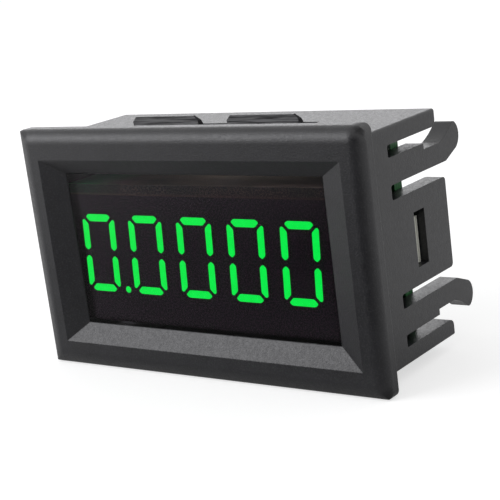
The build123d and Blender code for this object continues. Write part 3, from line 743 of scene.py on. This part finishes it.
# Ceramic capacitors: blocks of tan ceramic, laid up in thin layers, cut and sintered, which leaves
# a fine mottle. The tinned ends that hold them are pieces of their own.
tan_ceramic, tree, shader = new_material("tan_ceramic")
place = object_coordinates(tree)
mottle = noise(tree, place, 0.18 * MM, detail=4.0)
tan = ramp(tree, mottle, 0.3, 0.7, (0.36, 0.23, 0.13), (0.55, 0.39, 0.25))
tree.links.new(tan, shader.inputs["Base Color"])
tree.links.new(between(tree, mottle, 0.35, 0.5), shader.inputs["Roughness"])
bump(tree, shader, mottle, 0.006 * MM, 0.6)
dress("capacitor_chips", tan_ceramic)


# Smoothing capacitor: a drawn aluminium can, crimped over its rubber seal and standing on a
# moulded base. A black field printed on its top marks the negative side.
can_aluminium, tree, shader = new_material("can_aluminium")
place = object_coordinates(tree)
low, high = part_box("smoothing_capacitor_can")
middle_x = (low[0] + high[0]) / 2
parts = split(tree, place)
top_face = between(tree, parts["Y"], 0.0, 1.0, high[1] - 0.03 * MM, high[1] - 0.01 * MM)
negative_side = between(tree, parts["X"], 0.0, 1.0, middle_x + 0.7 * MM, middle_x + 0.74 * MM)
printed_field = math_node(tree, "MULTIPLY", top_face, negative_side)
streaks = noise(tree, stretched(tree, place, (1, 0.08, 1)), 0.12 * MM)
lacquer = ramp(tree, streaks, 0.3, 0.7, (0.62, 0.63, 0.65), (0.80, 0.80, 0.82))
tree.links.new(mixed(tree, printed_field, lacquer, (0.015, 0.015, 0.017)), shader.inputs["Base Color"])
tree.links.new(math_node(tree, "SUBTRACT", 1.0, printed_field), shader.inputs["Metallic"])
tree.links.new(between(tree, streaks, 0.22, 0.36), shader.inputs["Roughness"])
bump(tree, shader, streaks, 0.004 * MM, 0.5)
dress("smoothing_capacitor_can", can_aluminium)

seal_plastic, tree, shader = new_material("seal_plastic")
place = object_coordinates(tree)
moulded = noise(tree, place, 0.2 * MM)
tint = ramp(tree, moulded, 0.3, 0.7, (0.018, 0.018, 0.019), (0.036, 0.035, 0.035))
tree.links.new(tint, shader.inputs["Base Color"])
tree.links.new(between(tree, moulded, 0.45, 0.6), shader.inputs["Roughness"])
dress("smoothing_capacitor_base", seal_plastic)


# Supply connector: an open shroud moulded in natural nylon, slightly waxy and translucent. It
# stands on the board and is held by its pins, which are soldered through it.
natural_nylon, tree, shader = new_material("natural_nylon")
place = object_coordinates(tree)
waxy = noise(tree, place, 1.2 * MM)
_, edges = rounded_edges(tree, 0.1 * MM)
tint = ramp(tree, waxy, 0.35, 0.65, (0.66, 0.63, 0.53), (0.76, 0.74, 0.65))
# Painted highlight: the edges are painted paler
painted_edge_highlights = mixed(tree, math_node(tree, "MULTIPLY", edges, 0.6), tint, (0.86, 0.85, 0.80))
tree.links.new(painted_edge_highlights, shader.inputs["Base Color"])
tree.links.new(between(tree, waxy, 0.38, 0.52), shader.inputs["Roughness"])
shader.inputs["Subsurface Weight"].default_value = 0.15
shader.inputs["Subsurface Radius"].default_value = (0.6, 0.5, 0.35)
shader.inputs["Subsurface Scale"].default_value = 0.8 * MM
bump(tree, shader, noise(tree, place, 0.25 * MM), 0.006 * MM, 0.4)
dress("connector_shroud", natural_nylon)


# Studio: a pale floor under the meter and a white surround, a large soft lamp at the upper left
# in front, and a lower one behind at the left. Reflections see a painted shade on the floor near the lens.
def panel(name, corners):
    """A flat panel of the studio through four corners, in metres."""
    mesh = bpy.data.meshes.new(name)
    mesh.from_pydata(corners, [], [(0, 1, 2, 3)])
    item = bpy.data.objects.new(name, mesh)
    bpy.context.scene.collection.objects.link(item)
    return item


low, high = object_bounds()
ground = low[2]
floor_half = 3.0
floor = panel("floor", [
    (-floor_half, -floor_half, ground),
    (floor_half, -floor_half, ground),
    (floor_half, floor_half, ground),
    (-floor_half, floor_half, ground),
])
pale_floor, tree, shader = new_material("pale_floor")
shader.inputs["Roughness"].default_value = 0.9
shader.inputs["Specular IOR Level"].default_value = 0.0
light_path = tree.nodes.new("ShaderNodeLightPath")
# Painted shade on the floor, seen only in reflections: darkest near here and fading out
shaded_middle = (10 * MM, -66 * MM, ground)
reach = distance_from(tree, stretched(tree, object_coordinates(tree), (0.85, 1, 1)), shaded_middle)
shade = between(tree, reach, 1.0, 0.0, 28 * MM, 93 * MM)
shade = math_node(tree, "MULTIPLY", shade, light_path.outputs["Is Glossy Ray"])
tree.links.new(mixed(tree, shade, (0.55, 0.55, 0.55), (0.03, 0.03, 0.03)), shader.inputs["Base Color"])
white = tree.nodes.new("ShaderNodeEmission")
for_camera = math_node(tree, "MULTIPLY", light_path.outputs["Is Camera Ray"], 0.62)
for_gloss = math_node(tree, "MULTIPLY", light_path.outputs["Is Glossy Ray"], 0.36)
for_gloss = math_node(tree, "MULTIPLY", for_gloss, math_node(tree, "SUBTRACT", 1.0, shade))
tree.links.new(math_node(tree, "ADD", for_camera, for_gloss), white.inputs["Strength"])
total = tree.nodes.new("ShaderNodeAddShader")
tree.links.new(shader.outputs[0], total.inputs[0])
tree.links.new(white.outputs[0], total.inputs[1])
tree.links.new(total.outputs[0], tree.nodes["Material Output"].inputs["Surface"])
floor.data.materials.append(pale_floor)

surround = bpy.data.worlds.new("white_surround")
bpy.context.scene.world = surround
surround.use_nodes = True
tree = surround.node_tree
background = tree.nodes["Background"]
background.inputs["Color"].default_value = (1, 1, 1, 1)
light_path = tree.nodes.new("ShaderNodeLightPath")
seen = math_node(tree, "MAXIMUM", light_path.outputs["Is Camera Ray"], light_path.outputs["Is Glossy Ray"])
seen = math_node(tree, "MAXIMUM", seen, light_path.outputs["Is Transmission Ray"])
tree.links.new(between(tree, seen, 0.72, 1.0), background.inputs["Strength"])


def softbox(name, direction, distance, width, height, power):
    """A lamp with a rectangular front that faces the meter from a direction."""
    lamp = bpy.data.lights.new(name, "AREA")
    lamp.shape = "RECTANGLE"
    lamp.size = width
    lamp.size_y = height
    lamp.energy = power
    lamp.color = (0.97, 0.97, 1.0)
    lamp_object = bpy.data.objects.new(name, lamp)
    away = Vector(direction).normalized()
    lamp_object.location = away * distance
    lamp_object.rotation_euler = away.to_track_quat("Z", "Y").to_euler()
    lamp_object.visible_camera = False
    bpy.context.scene.collection.objects.link(lamp_object)


softbox("key", (-0.594, -0.609, 0.525), distance=0.5, width=0.36, height=0.30, power=1.22)
softbox("rear", (-0.66, 0.71, 0.26), distance=0.6, width=0.5, height=0.24, power=0.42)

# A black card stands beside the lens, out of sight, and keeps the surround's glare off the right rim
card_top = 0.30
card = panel("black_card", [
    (-0.11, -0.45, ground),
    (0.60, -0.30, ground),
    (0.60, -0.30, card_top),
    (-0.11, -0.45, card_top),
])
card.visible_camera = False
black_paper, tree, shader = new_material("black_paper")
shader.inputs["Base Color"].default_value = (0.03, 0.03, 0.03, 1)
shader.inputs["Roughness"].default_value = 0.9
card.data.materials.append(black_paper)


# Camera: the photograph's view, from the right and a little above, turned clockwise. Its angles,
# distance and focal length (in pixels) were fitted to corners and edges of the housing.
azimuth = math.radians(37.718)
elevation = math.radians(13.752)
roll = math.radians(-7.457)
distance = 160.15 * MM
aim = Vector((2.331, 6.0, -1.257)) * MM
focal_length = 1401.083
frame_width = 500
toward_camera = Vector((
    math.sin(azimuth) * math.cos(elevation),
    -math.cos(azimuth) * math.cos(elevation),
    math.sin(elevation),
))
level_right = (-toward_camera).cross(Vector((0, 0, 1))).normalized()
level_up = level_right.cross(-toward_camera)
right = math.cos(roll) * level_right + math.sin(roll) * level_up
up = -math.sin(roll) * level_right + math.cos(roll) * level_up
camera_data = bpy.data.cameras.new("camera")
camera_data.sensor_width = 36.0
camera_data.lens = focal_length * camera_data.sensor_width / frame_width
camera_data.clip_start = 0.01
camera = bpy.data.objects.new("camera", camera_data)
turn = Matrix((right, up, toward_camera)).transposed().to_4x4()
camera.matrix_world = Matrix.Translation(aim + toward_camera * distance) @ turn
bpy.context.scene.collection.objects.link(camera)
bpy.context.scene.camera = camera
bpy.context.scene.view_settings.view_transform = "Standard"
